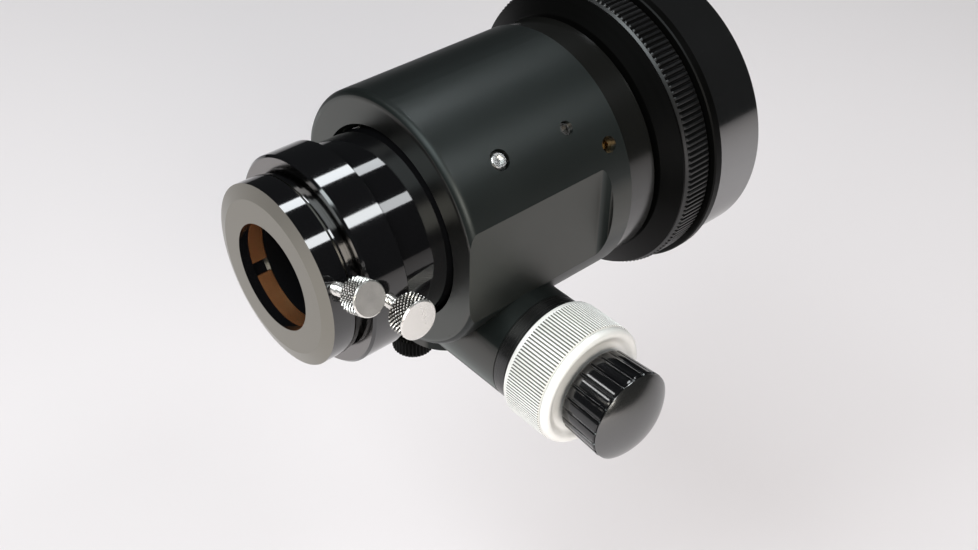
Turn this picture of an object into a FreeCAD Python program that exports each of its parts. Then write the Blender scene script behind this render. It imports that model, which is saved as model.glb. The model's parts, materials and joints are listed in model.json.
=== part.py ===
import FreeCAD, Part
import math
import os

# Rotating dual-speed 2 inch Crayford focuser for a refracting telescope, with a 2 to 1.25 inch
# eyepiece adapter fitted. Millimetres.
# Frame: +Y is the optical axis, from the eyepiece towards the telescope; +X points to the
# dual-speed knobs; +Z is up. The origin is the centre of the telescope-side rear face.

V = FreeCAD.Vector
X_AXIS = V(1, 0, 0)
Y_AXIS = V(0, 1, 0)
Z_AXIS = V(0, 0, 1)

# ---- driving dimensions: fits ----
RUN = 0.05                      # radial clearance of a running or sliding fit
REACH = 1.0                     # how far a cutting tool runs past the face it opens
BREAK = 0.3                     # broken edges of turned parts
OVERLAP = 0.2                   # how far fused pieces run into each other

# ---- stations along the optical axis ----
Y_ADAPTER_FACE = -149.4         # front face of the eyepiece adapter
Y_BACK_FRONT = -138.2           # visual back, front face
Y_BACK_REAR = -126.3
Y_BODY_FRONT = -110.0           # main body, front face
Y_BODY_REAR = -49.9
Y_COLLAR_REAR = -38.7           # collar behind the body
Y_FLANGE_FRONT = -37.2          # smooth rotator flange
Y_FLANGE_REAR = -33.3
Y_LOCK_REAR = -23.2             # knurled lock ring
Y_STOP_FRONT = -22.8            # stop flange of the tube adapter
Y_TUBE_FRONT = -19.7            # telescope-side ring
Y_PINION = -87.9                # focusing shaft

# ---- eyepiece adapter ----
EYEPIECE_BORE_R = 15.93         # takes a 31.75 mm (1.25 inch) barrel
ADAPTER_R = 27.0
ADAPTER_FACE_R = 22.9           # flat part of the face, inside the bevel
ADAPTER_BEVEL = 1.35
ADAPTER_FLANGE_LEN = 7.9
ADAPTER_GROOVE_R = 25.9
ADAPTER_GROOVE_LEN = 0.8
ADAPTER_RIM_R = 26.6
ADAPTER_RIM_LEN = 1.2
BARREL_R = 25.38                # 2 inch barrel
BARREL_END = 36.0               # barrel end, behind the adapter's face
FILTER_THREAD_R = 24.0
FILTER_THREAD_LEN = 6.0
BARREL_BREAK = 0.6              # chamfer at the barrel's end
RING_WALL = 0.9                 # split compression rings
RING_SLOT_DEG = 14.0
ADAPTER_SLOT_ANGLE = 208.0      # where each ring's split lies
BACK_SLOT_ANGLE = 190.0
RING_SIDE_GAP = 0.1             # each ring's play in its recess, along the axis
RING_SPRING = 0.5               # room behind each ring for it to open
RING_FIT = 0.05                 # how far each ring stands back from its bore
ADAPTER_RING_Y = (3.0, 7.6)     # behind the adapter's face
BACK_RING_HALF = 2.6            # half width of the visual back's ring

# ---- visual back and drawtube ----
BACK_R = 31.2
BACK_BORE_R = 25.43
BACK_CHAMFER = 0.7
BACK_SPIGOT_R = 27.0
BACK_SPIGOT_LEN = 6.0
TUBE_R = 28.4
TUBE_BORE_R = 25.6
TUBE_REAR = -24.4
TUBE_FLAT_Z = -27.5             # milled flat under the drawtube
TUBE_FLAT_Y = (-117.5, TUBE_REAR + 2.0)
TRACK_WIDTH = 6.0
TRACK_THICK = 1.75              # leaves the drive shaft clear by 0.05
TRACK_Y = (-104.0, -52.0)
BAFFLES = {"front": (-90.0, 22.5), "rear": (-40.0, 23.5)}   # (y, aperture radius)
BAFFLE_THICK = 2.0
BAFFLE_SEAT = 0.8
BAFFLE_LIP = 0.4                # thickness at the knife edge

# ---- main body ----
BODY_R = 39.7
BODY_BORE_R = 29.9
BODY_EDGE_R = 2.6               # rounded front edge
FLAT_X = 36.6                   # milled flat on each side of the body
FLAT_END = -57.6                # end of the flat, where it sweeps up to the collar
FLAT_CORNER_R = 3.2
SPIGOT_R = 34.0                 # collar spigot inside the body
SPIGOT_FRONT = -59.2
COLLAR_R = 39.0
COLLAR_BORE_R = 31.0
COLLAR_BREAK = 0.8              # chamfer towards the rotator
COLLAR_GAP = 0.2                # between the collar's front end and the body's step
RETAINING_GROOVE = (2.6, 1.0)   # half width and depth

# ---- focusing shaft and its housing ----
PINION_Z = -32.5
SHAFT_R = 3.2
SHAFT_ENDS = (-61.5, 48.0)
SHAFT_TUNNEL_R = 4.0            # hole for the shaft through the body
SHAFT_COLLAR_R = 3.8            # hole for the shaft through the bearing collars
HOUSING_R = 17.4
HOUSING_X = 41.7
COLLAR_X = 46.8                 # outer face of the bearing collars
CAP_R = 14.8                    # round cap under the housing
CAP_Z = -50.0
CAP_THICK = 2.6
CAP_SCREW_ANGLES = (-62.0, 55.0, 125.0)
CAP_SCREW_ORBIT = CAP_R - 2.0
CAP_SCREW_R = 1.0
CAP_SCREW_LEN = 8.0
CAP_SCREW_HEAD = (1.65, 1.2)    # radius, height
CAP_SCREW_SINK = 0.1            # heads lie this far below the cap's face
CAP_SCREW_HEX = 1.3
CAP_CHAMFER = 0.5
CRADLE_HALF = (12.6, 7.0)       # half length along X, half width along Y
CRADLE_TOP = -30.5
CRADLE_BOTTOM = -42.6
BUSH_R = 4.6
BUSH_X = (8.2, 12.6)
CRADLE_GAP = 0.1

# ---- drawtube bearings ----
BEARING_R = 4.0                 # 3 x 8 x 4 mm ball bearings
BEARING_WIDTH = 4.0
BEARING_BORE_R = 1.5
BEARING_INNER_R = 2.5           # inner race
BEARING_BREAK = 0.25
BEARING_LIFT = 0.03             # between each bearing and the drawtube
BEARING_Y = (-101.4, -74.9)
BEARING_ANGLES = {"right": 45.0, "left": 135.0}
CARRIER_R = (30.7, 36.2)
CARRIER_HALF = 4.6
CARRIER_Y = (-106.4, -61.5)
CARRIER_GAP = (0.1, 0.4)        # carrier's play in its pocket: at the sides, and above and below
CARRIER_WINDOW = (0.3, 0.5)     # room round each bearing: at its sides, and round its rim
CARRIER_SCREW_Y = (-92.1, -67.3)
BUTTON_STEM_R = 1.5
BUTTON_HEAD = (2.8, 1.6)        # radius, height
BUTTON_SEAT_R = BODY_R - 1.9
BUTTON_HOLE_R = 3.1
BUTTON_HEX = 2.5
SET_R = 2.15
SET_TOP_R = BODY_R - 1.0
SET_HEX = 2.0
RETAINING_R = 2.5
RETAINING_TOP_R = BODY_R - 2.0
RETAINING_HEX = 2.5
RETAINING_SCREW_Y = -55.5
RETAINING_ANGLES = (31.3, 151.3, 271.3)

# ---- knobs ----
COARSE_R = 19.2
COARSE_X = (47.6, 64.9)
COARSE_CAVITY_R = 14.4
KNOB_DISH = 1.4                 # depth of the dished front
KNOB_WEB = 4.6                  # from the knob's rim to the back of its front wall
KNOB_ROUND = 1.6                # length of the rounded rim
END_DISC = (12.9, 2.6, 1.2)     # radius, height and chamfer of the plain knob's cap
FINE_R = 14.1                   # at the front; the knob tapers towards its back
FINE_BACK_R = 13.3
FINE_X = (65.3, 79.3)
FINE_FLUTES = 22
FLUTE_R = 0.75
FLUTE_LIFT = 0.25               # flute centres stand this far outside the knob
FLUTE_START = 0.1               # share of the knob's length left plain at the back
FINE_CUP = (3.0, 4.0)           # wall and depth of the recess under the dome
DOME_PLUG = 3.0
DOME_X = 84.5
BALL_R = 4.75
BALL_ORBIT_R = 6.0
BALL_PLANE_X = 52.4
BALL_COUNT = 3
SUN_R = 1.2
FINE_SHAFT_X = (49.0, 64.0)     # thin end that the balls run on
FINE_HUB_R = 3.0
CARRIER_DISC_R = 8.6
CARRIER_DISC_X = (0.4, 5.4)     # front of the bearing collar; behind the balls' plane
RACE_WALL_GAP = 0.5             # between the fixed race and the coarse knob
RACE_DEPTH = 5.2                # race's front, beyond the balls' plane
HUB_R = 6.0

# ---- thumbscrews and lock knob ----
ADAPTER_SCREW = {"y": -145.4, "angle": 21.5, "head": (35.8, 43.0), "head_r": 4.9}
BACK_SCREW = {"y": -133.4, "angle": 6.1, "head": (38.0, 44.3), "head_r": 5.8}
SCREW_R = 2.0
HEAD_CHAMFER = 0.35
SCREW_TIP_GAP = 0.15            # between a thumbscrew's tip and its ring
LOCK_X = -5.0
LOCK_Y = -97.8
LOCK_R = 6.8
LOCK_Z = (-58.4, -51.0)
LOCK_STEM_Z = -31.6             # inner end of the lock screw's stem
LOCK_CHAMFER = 0.6
PAD_R = 1.8
PAD_GAP = 0.15                  # between the brake pad and the drawtube
TENSION_SINK = 0.4              # tension screw below the cap's face
TENSION_HEX = 2.0

# ---- rotator and telescope side ----
FLANGE_R = 45.6
FLANGE_FACE_R = 39.3            # inner edge of the flange's sloping face
JOURNAL_R = 34.0
JOURNAL_BORE_R = 31.0
NECK_R = 36.3                   # threaded neck between flange and collar
NECK_FRONT = Y_BODY_REAR + 5.0
COLLAR_STEP = Y_BODY_REAR + 2.5     # bottom of the recess in the collar's back
JOURNAL_FRONT = Y_BODY_REAR + 2.8
KEEPER_R = 35.6                 # retaining ring
KEEPER_THICK = 2.1
KEEPER_THREAD = 1.0             # how far it screws onto the journal
KEEPER_NOTCH_R = 0.8
WASHER_R = 41.9
WASHER_Y = (0.05, 0.5)          # behind the flange
LOCK_RING_GAP = 0.2             # between the flange and the lock ring
LOCK_RING_BEVEL = (1.5, 1.0)    # radius and length of the front bevel
LOCK_RING_BREAK = 0.5
WEB_THICK = 3.4                 # wall between the journal and the rear bore
STOP_BREAK = 0.4
ADAPTER_NECK_R = 42.4           # threaded neck under the lock ring
ADAPTER_BORE_R = 38.0
LOCK_RING_R = 46.6
STOP_R = 48.3
TUBE_RING_R = 46.5
TUBE_SPIGOT_R = 42.0
TUBE_SEAT_R = 43.0
TUBE_SEAT_DEPTH = 12.0


def tube(y0, y1, outer, inner=0.0):
    """A cylinder or ring about the optical axis, from y0 to y1."""
    body = Part.makeCylinder(outer, y1 - y0, V(0, y0, 0), Y_AXIS)
    if inner > 0:
        hole = Part.makeCylinder(inner, y1 - y0 + 2 * REACH, V(0, y0 - REACH, 0), Y_AXIS)
        body = body.cut(hole)
    return body


def shaft_tube(x0, x1, outer, inner=0.0):
    """A cylinder or ring about the focusing shaft, from x0 to x1 (x0 below x1)."""
    body = Part.makeCylinder(outer, x1 - x0, V(x0, Y_PINION, PINION_Z), X_AXIS)
    if inner > 0:
        hole = Part.makeCylinder(inner, x1 - x0 + 2 * REACH,
                                 V(x0 - REACH, Y_PINION, PINION_Z), X_AXIS)
        body = body.cut(hole)
    return body


def revolve_y(points):
    """Turn a closed outline of (radius, y) points about the optical axis."""
    outline = [V(r, y, 0) for r, y in points]
    face = Part.Face(Part.makePolygon(outline + outline[:1]))
    return face.revolve(V(0, 0, 0), Y_AXIS, 360)


def revolve_shaft(points):
    """Turn a closed outline of (radius, x) points about the focusing shaft."""
    outline = [V(x, Y_PINION + r, PINION_Z) for r, x in points]
    face = Part.Face(Part.makePolygon(outline + outline[:1]))
    return face.revolve(V(0, Y_PINION, PINION_Z), X_AXIS, 360)


def radial(angle):
    """Unit vector square to the optical axis, at an angle above +X."""
    turn = math.radians(angle)
    return V(math.cos(turn), 0, math.sin(turn))


def radial_pin(y, angle, r0, r1, radius):
    """A round pin along a radius of the optical axis."""
    direction = radial(angle)
    return Part.makeCylinder(radius, r1 - r0, V(0, y, 0) + direction * r0, direction)


def radial_box(angle, r0, r1, half, y0, y1):
    """A block with its length along the optical axis, standing on a radius."""
    block = Part.makeBox(r1 - r0, y1 - y0, 2 * half, V(r0, y0, -half))
    block.rotate(V(0, 0, 0), Y_AXIS, -angle)
    return block


def hex_socket(base, direction, across, depth):
    """A hexagonal prism, for the socket of a screw."""
    side = V(0, 1, 0) if abs(direction.y) < 0.5 else X_AXIS
    other = direction.cross(side)
    corners = []
    for i in range(6):
        turn = math.radians(60 * i)
        spoke = side * math.cos(turn) + other * math.sin(turn)
        corners.append(base + spoke * (across / math.sqrt(3)))
    face = Part.Face(Part.makePolygon(corners + corners[:1]))
    return face.extrude(direction * depth)


def fuse(shapes):
    """Join shapes into one solid and merge their shared faces."""
    whole = shapes[0]
    for shape in shapes[1:]:
        whole = whole.fuse(shape)
    return whole.removeSplitter()


def write_node(name, shape):
    """Write one node after a check that it is made of sound, separate solids."""
    assert shape.isValid(), name
    assert shape.Volume > 0, name
    solids = shape.Solids
    out = solids[0] if len(solids) == 1 else Part.makeCompound(solids)
    out.exportStep("parts/" + name + ".step")
    print("%-26s solids %d  volume %9.1f mm3" % (name, len(solids), shape.Volume))


def write_group(name, shapes):
    """Write identical small pieces as one node of separate solids."""
    write_node(name, Part.makeCompound([s.Solids[0] for s in shapes]))


# ---------------------------------------------------------------- eyepiece side
def adapter_body():
    face = Y_ADAPTER_FACE
    groove = face + ADAPTER_FLANGE_LEN
    rim = groove + ADAPTER_GROOVE_LEN
    rim_end = rim + ADAPTER_RIM_LEN
    end = face + BARREL_END
    thread = end - FILTER_THREAD_LEN
    body = revolve_y([
        (EYEPIECE_BORE_R, face), (ADAPTER_FACE_R, face),
        (ADAPTER_R, face + ADAPTER_BEVEL), (ADAPTER_R, groove),
        (ADAPTER_GROOVE_R, groove), (ADAPTER_GROOVE_R, rim),
        (ADAPTER_RIM_R, rim), (ADAPTER_RIM_R, rim_end),
        (BARREL_R, rim_end), (BARREL_R, end - BARREL_BREAK), (BARREL_R - BARREL_BREAK, end),
        (FILTER_THREAD_R, end), (FILTER_THREAD_R, thread), (EYEPIECE_BORE_R, thread)])
    body = body.cut(ring_recess(adapter_ring_span(), EYEPIECE_BORE_R))
    hole = radial_pin(ADAPTER_SCREW["y"], ADAPTER_SCREW["angle"],
                      EYEPIECE_BORE_R + RING_WALL, ADAPTER_R + REACH, SCREW_R + RUN)
    return body.cut(hole)


def adapter_ring_span():
    return [Y_ADAPTER_FACE + depth for depth in ADAPTER_RING_Y]


def back_ring_span():
    return [BACK_SCREW["y"] - BACK_RING_HALF, BACK_SCREW["y"] + BACK_RING_HALF]


def ring_recess(span, bore):
    """The recess in a bore in which a compression ring lies."""
    return tube(span[0] - RING_SIDE_GAP, span[1] + RING_SIDE_GAP, bore + RING_WALL + RING_SPRING)


def compression_ring(span, bore, gap_angle):
    """A springy brass ring, split so that a screw can squeeze it onto a barrel."""
    ring = tube(span[0], span[1], bore + RING_WALL + RING_FIT, bore + RING_FIT)
    slot = radial_box(gap_angle, bore - REACH, bore + RING_WALL + REACH,
                      bore * math.radians(RING_SLOT_DEG) / 2, span[0] - REACH, span[1] + REACH)
    return ring.cut(slot)


def thumbscrew(spec, tip_r):
    """A thumbscrew on a radius: a threaded stem and a round head."""
    y = spec["y"]
    angle = spec["angle"]
    head0, head1 = spec["head"]
    stem = radial_pin(y, angle, tip_r, head0 + REACH, SCREW_R)
    head = radial_pin(y, angle, head0, head1, spec["head_r"])
    head = head.makeChamfer(HEAD_CHAMFER, [e for e in head.Edges if e.Length > spec["head_r"] * 6])
    return fuse([head, stem])


def visual_back():
    body = revolve_y([
        (BACK_BORE_R, Y_BACK_FRONT), (BACK_R - BACK_CHAMFER, Y_BACK_FRONT),
        (BACK_R, Y_BACK_FRONT + BACK_CHAMFER), (BACK_R, Y_BACK_REAR - BREAK),
        (BACK_R - BREAK, Y_BACK_REAR), (BACK_SPIGOT_R, Y_BACK_REAR),
        (BACK_SPIGOT_R, Y_BACK_REAR + BACK_SPIGOT_LEN), (BACK_BORE_R, Y_BACK_REAR + BACK_SPIGOT_LEN)])
    body = body.cut(ring_recess(back_ring_span(), BACK_BORE_R))
    hole = radial_pin(BACK_SCREW["y"], BACK_SCREW["angle"],
                      BACK_BORE_R + RING_WALL, BACK_R + REACH, SCREW_R + RUN)
    return body.cut(hole)


def drawtube():
    body = revolve_y([
        (BACK_SPIGOT_R, Y_BACK_REAR), (TUBE_R, Y_BACK_REAR), (TUBE_R, TUBE_REAR),
        (TUBE_BORE_R, TUBE_REAR), (TUBE_BORE_R, Y_BACK_REAR + BACK_SPIGOT_LEN),
        (BACK_SPIGOT_R, Y_BACK_REAR + BACK_SPIGOT_LEN)])
    depth = TUBE_R + TUBE_FLAT_Z + REACH
    flat = Part.makeBox(2 * TUBE_R, TUBE_FLAT_Y[1] - TUBE_FLAT_Y[0], depth,
                        V(-TUBE_R, TUBE_FLAT_Y[0], TUBE_FLAT_Z - depth))
    return body.cut(flat)


def track_strip():
    return Part.makeBox(TRACK_WIDTH, TRACK_Y[1] - TRACK_Y[0], TRACK_THICK,
                        V(-TRACK_WIDTH / 2, TRACK_Y[0], TUBE_FLAT_Z - TRACK_THICK))


def baffle(y, aperture):
    """A thin ring inside the drawtube with a knife edge, against stray light."""
    back = y + BAFFLE_THICK
    return revolve_y([(TUBE_BORE_R, y), (TUBE_BORE_R, back), (TUBE_BORE_R - BAFFLE_SEAT, back),
                      (aperture, y + BAFFLE_LIP), (aperture, y)])


# ---------------------------------------------------------------- main body
def side_flat(side):
    """The material milled away for one side flat, with its rounded inner corner."""
    front = Y_BODY_FRONT - REACH
    depth = BODY_R - FLAT_X + REACH
    corner_y = FLAT_END - FLAT_CORNER_R
    low = Part.makeBox(depth, corner_y - front, 2 * BODY_R, V(FLAT_X, front, -BODY_R))
    high = Part.makeBox(depth, FLAT_END - front, 2 * BODY_R,
                        V(FLAT_X + FLAT_CORNER_R, front, -BODY_R))
    corner = Part.makeCylinder(FLAT_CORNER_R, 2 * BODY_R,
                               V(FLAT_X + FLAT_CORNER_R, corner_y, -BODY_R), Z_AXIS)
    tool = low.fuse(high).fuse(corner)
    if side < 0:
        tool = tool.mirror(V(0, 0, 0), X_AXIS)
    return tool


def focuser_body():
    body = tube(Y_BODY_FRONT, Y_BODY_REAR, BODY_R)
    front_edge = [e for e in body.Edges if abs(e.CenterOfMass.y - Y_BODY_FRONT) < 0.01]
    body = body.makeFillet(BODY_EDGE_R, front_edge)
    for side in (1, -1):
        body = body.cut(side_flat(side))
    housing = shaft_tube(-HOUSING_X, HOUSING_X, HOUSING_R)
    boss = Part.makeCylinder(CAP_R, PINION_Z - CAP_Z - CAP_THICK,
                             V(0, Y_PINION, CAP_Z + CAP_THICK), Z_AXIS)
    # The housing ends in a flat underside, level with the cap's seat.
    cap_seat = CAP_Z + CAP_THICK
    trim = Part.makeCylinder(CAP_R, 2 * CAP_THICK, V(0, Y_PINION, cap_seat - 2 * CAP_THICK), Z_AXIS)
    body = body.fuse(housing.cut(trim)).fuse(boss)
    cuts = [tube(Y_BODY_FRONT - REACH, Y_BODY_REAR + REACH, BODY_BORE_R),
            tube(SPIGOT_FRONT, Y_BODY_REAR + REACH, SPIGOT_R),
            shaft_tube(-HOUSING_X - REACH, HOUSING_X + REACH, SHAFT_TUNNEL_R)]
    half_x = CRADLE_HALF[0] + CRADLE_GAP
    half_y = CRADLE_HALF[1] + CRADLE_GAP
    into_bore = -BODY_BORE_R + 2 * REACH
    cuts.append(Part.makeBox(2 * half_x, 2 * half_y, into_bore - cap_seat + REACH,
                             V(-half_x, Y_PINION - half_y, cap_seat - REACH)))
    cuts.append(Part.makeCylinder(SCREW_R + RUN, into_bore - CAP_Z, V(LOCK_X, LOCK_Y, CAP_Z), Z_AXIS))
    side_gap, end_gap = CARRIER_GAP
    for angle in BEARING_ANGLES.values():
        cuts.append(radial_box(angle, BODY_BORE_R - 3 * REACH, CARRIER_R[1] + end_gap,
                               CARRIER_HALF + side_gap, CARRIER_Y[0] - end_gap,
                               SPIGOT_FRONT + REACH))
        front_y, rear_y = CARRIER_SCREW_Y
        cuts.append(radial_pin(front_y, angle, CARRIER_R[1], BODY_R + REACH, BUTTON_STEM_R))
        cuts.append(radial_pin(front_y, angle, BUTTON_SEAT_R, BODY_R + REACH, BUTTON_HOLE_R))
        cuts.append(radial_pin(rear_y, angle, CARRIER_R[1], BODY_R + REACH, SET_R))
    for angle in RETAINING_ANGLES:
        cuts.append(radial_pin(RETAINING_SCREW_Y, angle, SPIGOT_R - REACH, BODY_R + REACH,
                               RETAINING_R))
    for screw in cap_screw_places():
        cuts.append(Part.makeCylinder(CAP_SCREW_R, CAP_SCREW_LEN,
                                      V(screw.x, screw.y, cap_seat - CAP_SCREW_SINK), Z_AXIS))
    for tool in cuts:
        body = body.cut(tool)
    return body.removeSplitter()


def cap_screw_places():
    """Three screws round the rim of the housing cap, clear of the lock screw and the cradle."""
    return [V(CAP_SCREW_ORBIT * math.cos(math.radians(a)),
              Y_PINION + CAP_SCREW_ORBIT * math.sin(math.radians(a)), CAP_Z)
            for a in CAP_SCREW_ANGLES]


def housing_cap():
    cap = Part.makeCylinder(CAP_R, CAP_THICK, V(0, Y_PINION, CAP_Z), Z_AXIS)
    lower_edge = [e for e in cap.Edges if abs(e.CenterOfMass.z - CAP_Z) < 0.01]
    cap = cap.makeChamfer(CAP_CHAMFER, lower_edge)
    below = CAP_Z - REACH
    through = CAP_THICK + 2 * REACH
    cap = cap.cut(Part.makeCylinder(SCREW_R + RUN, through, V(0, Y_PINION, below), Z_AXIS))
    cap = cap.cut(Part.makeCylinder(SCREW_R + RUN, through, V(LOCK_X, LOCK_Y, below), Z_AXIS))
    head_r, head_h = CAP_SCREW_HEAD
    for screw in cap_screw_places():
        place = V(screw.x, screw.y, below)
        cap = cap.cut(Part.makeCylinder(CAP_SCREW_R, through, place, Z_AXIS))
        cap = cap.cut(Part.makeCylinder(head_r + RUN, head_h + CAP_SCREW_SINK + REACH, place, Z_AXIS))
    return cap


def cap_screws():
    screws = []
    head_r, head_h = CAP_SCREW_HEAD
    for place in cap_screw_places():
        base = V(place.x, place.y, CAP_Z + CAP_SCREW_SINK)
        stem = Part.makeCylinder(CAP_SCREW_R, CAP_SCREW_LEN, base, Z_AXIS)
        screw = Part.makeCylinder(head_r, head_h, base, Z_AXIS).fuse(stem)
        screws.append(screw.cut(hex_socket(base, Z_AXIS, CAP_SCREW_HEX, 0.7 * head_h)))
    return screws


def body_collar():
    front = SPIGOT_FRONT + COLLAR_GAP
    collar = revolve_y([
        (COLLAR_BORE_R, front), (SPIGOT_R, front),
        (SPIGOT_R, Y_BODY_REAR), (COLLAR_R - BREAK, Y_BODY_REAR), (COLLAR_R, Y_BODY_REAR + BREAK),
        (COLLAR_R, Y_COLLAR_REAR - COLLAR_BREAK), (COLLAR_R - COLLAR_BREAK, Y_COLLAR_REAR),
        (NECK_R, Y_COLLAR_REAR), (NECK_R, COLLAR_STEP), (COLLAR_BORE_R, COLLAR_STEP)])
    half, depth = RETAINING_GROOVE
    groove = tube(RETAINING_SCREW_Y - half, RETAINING_SCREW_Y + half, SPIGOT_R + REACH,
                  SPIGOT_R - depth)
    return collar.cut(groove)


def carrier(angle):
    """A bar inside the body wall that holds two drawtube bearings."""
    bar = radial_box(angle, CARRIER_R[0], CARRIER_R[1], CARRIER_HALF, CARRIER_Y[0], CARRIER_Y[1])
    side_room, rim_room = CARRIER_WINDOW
    low = CARRIER_R[0] - REACH
    high = CARRIER_R[1] + REACH
    for y in BEARING_Y:
        reach_y = BEARING_R + rim_room
        bar = bar.cut(radial_box(angle, low, high, BEARING_WIDTH / 2 + side_room,
                                 y - reach_y, y + reach_y))
        bar = bar.cut(axle_pin(angle, y, CARRIER_HALF + REACH, BEARING_BORE_R))
    for y, radius in zip(CARRIER_SCREW_Y, (BUTTON_STEM_R, SET_R)):
        bar = bar.cut(radial_pin(y, angle, low, high, radius))
    return bar


def axle_pin(angle, y, half, radius):
    """A pin square to both the optical axis and the radius at this angle."""
    centre = V(0, y, 0) + radial(angle) * (TUBE_R + BEARING_R + BEARING_LIFT)
    along = radial(angle + 90)
    return Part.makeCylinder(radius, 2 * half, centre - along * half, along)


def bearing(angle, y):
    """The outer race of a ball bearing, which rolls along the drawtube."""
    race = axle_pin(angle, y, BEARING_WIDTH / 2, BEARING_R)
    race = race.makeChamfer(BEARING_BREAK, [e for e in race.Edges if e.Length > BEARING_R * 6])
    return race.cut(axle_pin(angle, y, BEARING_WIDTH, BEARING_INNER_R + RUN))


def bearing_axle(angle, y):
    """The axle with the bearing's inner race on it."""
    pin = axle_pin(angle, y, CARRIER_HALF, BEARING_BORE_R)
    return fuse([pin, axle_pin(angle, y, BEARING_WIDTH / 2, BEARING_INNER_R)])


def button_screw(y, angle, r_tip):
    """A button-head socket screw along a radius, its head outwards."""
    head_r, head_h = BUTTON_HEAD
    stem = radial_pin(y, angle, r_tip, BUTTON_SEAT_R + OVERLAP, BUTTON_STEM_R)
    head = radial_pin(y, angle, BUTTON_SEAT_R, BUTTON_SEAT_R + head_h, head_r)
    rim = [e for e in head.Edges if e.Length > head_r * 6]
    rim.sort(key=lambda e: e.CenterOfMass.Length)
    head = head.makeChamfer(head_h * 0.45, rim[-1:])
    screw = fuse([head, stem])
    direction = radial(angle)
    base = V(0, y, 0) + direction * (BUTTON_SEAT_R + 0.45 * head_h)
    return screw.cut(hex_socket(base, direction, BUTTON_HEX, head_h))


def set_screw(y, angle, r_tip, r_top, radius, across):
    """A headless socket screw along a radius."""
    screw = radial_pin(y, angle, r_tip, r_top, radius)
    direction = radial(angle)
    base = V(0, y, 0) + direction * (r_top - 0.7 * across)
    return screw.cut(hex_socket(base, direction, across, across))


# ---------------------------------------------------------------- shaft and knobs
def shaft_cradle():
    half_x, half_y = CRADLE_HALF
    block = Part.makeBox(2 * half_x, 2 * half_y, CRADLE_TOP - CRADLE_BOTTOM,
                         V(-half_x, Y_PINION - half_y, CRADLE_BOTTOM))
    return block.cut(shaft_tube(-half_x - REACH, half_x + REACH, BUSH_R))


def shaft_bushing(side):
    x0, x1 = sorted((side * BUSH_X[0], side * BUSH_X[1]))
    return shaft_tube(x0, x1, BUSH_R, SHAFT_R + RUN)


def drive_shaft():
    return shaft_tube(*SHAFT_ENDS, SHAFT_R)


def bearing_collar(side):
    """The black collar between the housing and a coarse knob."""
    points = [(SHAFT_COLLAR_R, HOUSING_X), (HOUSING_R - BREAK, HOUSING_X),
              (HOUSING_R, HOUSING_X + BREAK), (HOUSING_R, COLLAR_X - 2 * BREAK),
              (HOUSING_R - 2 * BREAK, COLLAR_X), (SHAFT_COLLAR_R, COLLAR_X)]
    return revolve_shaft([(r, side * x) for r, x in points])


def reduction_race():
    """The fixed ring in which the reduction balls roll."""
    return shaft_tube(COLLAR_X, BALL_PLANE_X + RACE_DEPTH, COARSE_CAVITY_R - RACE_WALL_GAP,
                      BALL_ORBIT_R + BALL_R + RUN)


def ball_place(i):
    turn = math.radians(90 + 360.0 * i / BALL_COUNT)
    return V(BALL_PLANE_X, Y_PINION + BALL_ORBIT_R * math.cos(turn),
             PINION_Z + BALL_ORBIT_R * math.sin(turn))


def ball_carrier():
    """The cage on the end of the drive shaft, with a pocket for each ball."""
    disc_end = BALL_PLANE_X + CARRIER_DISC_X[1]
    shaft_end = SHAFT_ENDS[1]
    cage = fuse([shaft_tube(COLLAR_X + CARRIER_DISC_X[0], disc_end, CARRIER_DISC_R),
                 shaft_tube(disc_end - OVERLAP, COARSE_X[1] - KNOB_DISH, HUB_R)])
    cage = cage.cut(shaft_tube(COLLAR_X - REACH, shaft_end, SHAFT_R))
    cage = cage.cut(shaft_tube(shaft_end, COARSE_X[1], SUN_R + RUN))
    for i in range(BALL_COUNT):
        pocket = Part.makeSphere(BALL_R + RUN, ball_place(i))
        cage = cage.cut(pocket)
    return cage


def reduction_balls():
    return [Part.makeSphere(BALL_R, ball_place(i)) for i in range(BALL_COUNT)]


def coarse_knob(side):
    """A round knob with a rounded rim and a dished front, hollow behind."""
    back, front = COARSE_X
    grip_end = front - KNOB_ROUND
    web = front - KNOB_WEB
    bore = HUB_R if side > 0 else SHAFT_R
    points = [(COARSE_CAVITY_R, back), (COARSE_R - 0.4, back), (COARSE_R, back + 0.4),
              (COARSE_R, grip_end), (COARSE_R - 0.5, front - 0.7), (COARSE_R - 1.4, front),
              (COARSE_R - 2.3, front - 0.2), (FINE_R + 0.9, front - KNOB_DISH),
              (bore, front - KNOB_DISH),
              (bore, web), (COARSE_CAVITY_R, web)]
    return revolve_shaft([(r, side * x) for r, x in points])


def end_disc():
    """The cap that closes the plain knob's front."""
    x0 = -COARSE_X[1] + KNOB_DISH
    radius, height, chamfer = END_DISC
    disc = shaft_tube(x0 - height, x0, radius)
    rim = [e for e in disc.Edges if abs(e.CenterOfMass.x - (x0 - height)) < 0.01]
    return disc.makeChamfer(chamfer, rim)


def fine_knob():
    x0, x1 = FINE_X
    wall, depth = FINE_CUP
    knob = revolve_shaft([(FINE_HUB_R, x0), (FINE_BACK_R - BREAK, x0), (FINE_BACK_R, x0 + BREAK),
                          (FINE_R, x1), (FINE_R - wall, x1), (FINE_R - wall, x1 - depth),
                          (FINE_HUB_R, x1 - depth)])
    for i in range(FINE_FLUTES):
        turn = 2 * math.pi * i / FINE_FLUTES
        spoke = V(0, math.cos(turn), math.sin(turn))
        base = V(x0, Y_PINION, PINION_Z) + spoke * (FINE_BACK_R + FLUTE_LIFT)
        slope = V(x1 - x0, 0, 0) + spoke * (FINE_R - FINE_BACK_R)
        start = base + slope * FLUTE_START
        knob = knob.cut(Part.makeCylinder(FLUTE_R, slope.Length, start, slope))
    return knob


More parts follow.
